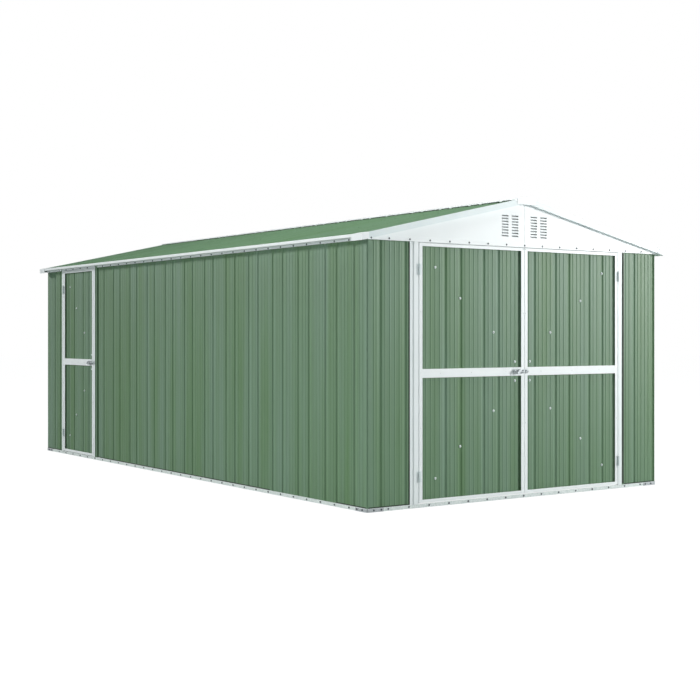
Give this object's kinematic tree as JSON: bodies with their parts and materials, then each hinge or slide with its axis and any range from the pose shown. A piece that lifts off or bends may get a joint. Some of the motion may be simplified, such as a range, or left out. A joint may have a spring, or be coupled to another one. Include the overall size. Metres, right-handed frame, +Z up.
{
  "type": "metal storage shed",
  "caption": "Walk-in storage shed of folded green steel sheet with a low gable roof, white trims, louvred gables, hinged double front doors and a hinged side door.",
  "frame": {"origin": "centre of the shed at ground level, under the ridge", "axes": "+X across the shed towards the right wall, +Y along it towards the back, +Z up"},
  "size_m": [3.1456, 6.0736, 2.3385],
  "materials": {
    "green_sheet": "satin painted steel sheet",
    "white_trim": "satin white painted steel",
    "galvanised_steel": "galvanised, matt",
    "fittings_steel": "zinc plated"
  },
  "bodies": {
    "shell": {"back_barge_boards": "white_trim", "back_gable_plates": "white_trim", "back_wall": "green_sheet", "base_corner_brackets": "galvanised_steel", "base_rail_back": "galvanised_steel", "base_rail_front": "galvanised_steel", "base_rail_left": "galvanised_steel", "base_rail_right": "galvanised_steel", "eave_corner_caps": "white_trim", "eave_rails": "galvanised_steel", "eave_trims": "white_trim", "front_barge_boards": "white_trim", "front_door_posts": "white_trim", "front_gable_plates": "white_trim", "front_wall_left": "green_sheet", "front_wall_right": "green_sheet", "left_wall_front": "green_sheet", "left_wall_rear": "green_sheet", "post_hinges": "fittings_steel", "ridge_cap": "white_trim", "ridge_end_caps": "white_trim", "right_wall": "green_sheet", "roof_beams": "galvanised_steel", "roof_left": "green_sheet", "roof_right": "green_sheet", "side_door_keeper": "fittings_steel", "side_door_posts": "white_trim", "top_rail_back": "galvanised_steel", "top_rail_front": "galvanised_steel"},
    "front_left_leaf": {"front_left_door_bolt": "fittings_steel", "front_left_door_braces": "galvanised_steel", "front_left_door_frame": "white_trim", "front_left_door_hinges": "fittings_steel", "front_left_door_sheet": "green_sheet"},
    "front_right_leaf": {"front_right_door_braces": "galvanised_steel", "front_right_door_frame": "white_trim", "front_right_door_hinges": "fittings_steel", "front_right_door_keeper": "fittings_steel", "front_right_door_sheet": "green_sheet"},
    "side_leaf": {"side_door_bolt": "fittings_steel", "side_door_braces": "galvanised_steel", "side_door_frame": "white_trim", "side_door_hinges": "fittings_steel", "side_door_sheet": "green_sheet"}
  },
  "joints": [
    {"name": "front_left_hinge", "type": "hinge", "parent": "shell", "child": "front_left_leaf", "pos_m": [-1.0395, -3.015, 0.97], "axis": [0, 0, -1], "range_deg": [0, 170]},
    {"name": "front_right_hinge", "type": "hinge", "parent": "shell", "child": "front_right_leaf", "pos_m": [1.0395, -3.015, 0.97], "axis": [0, 0, 1], "range_deg": [0, 170]},
    {"name": "side_hinge", "type": "hinge", "parent": "shell", "child": "side_leaf", "pos_m": [-1.515, 2.5225, 0.97], "axis": [0, 0, -1], "range_deg": [0, 170]}
  ]
}
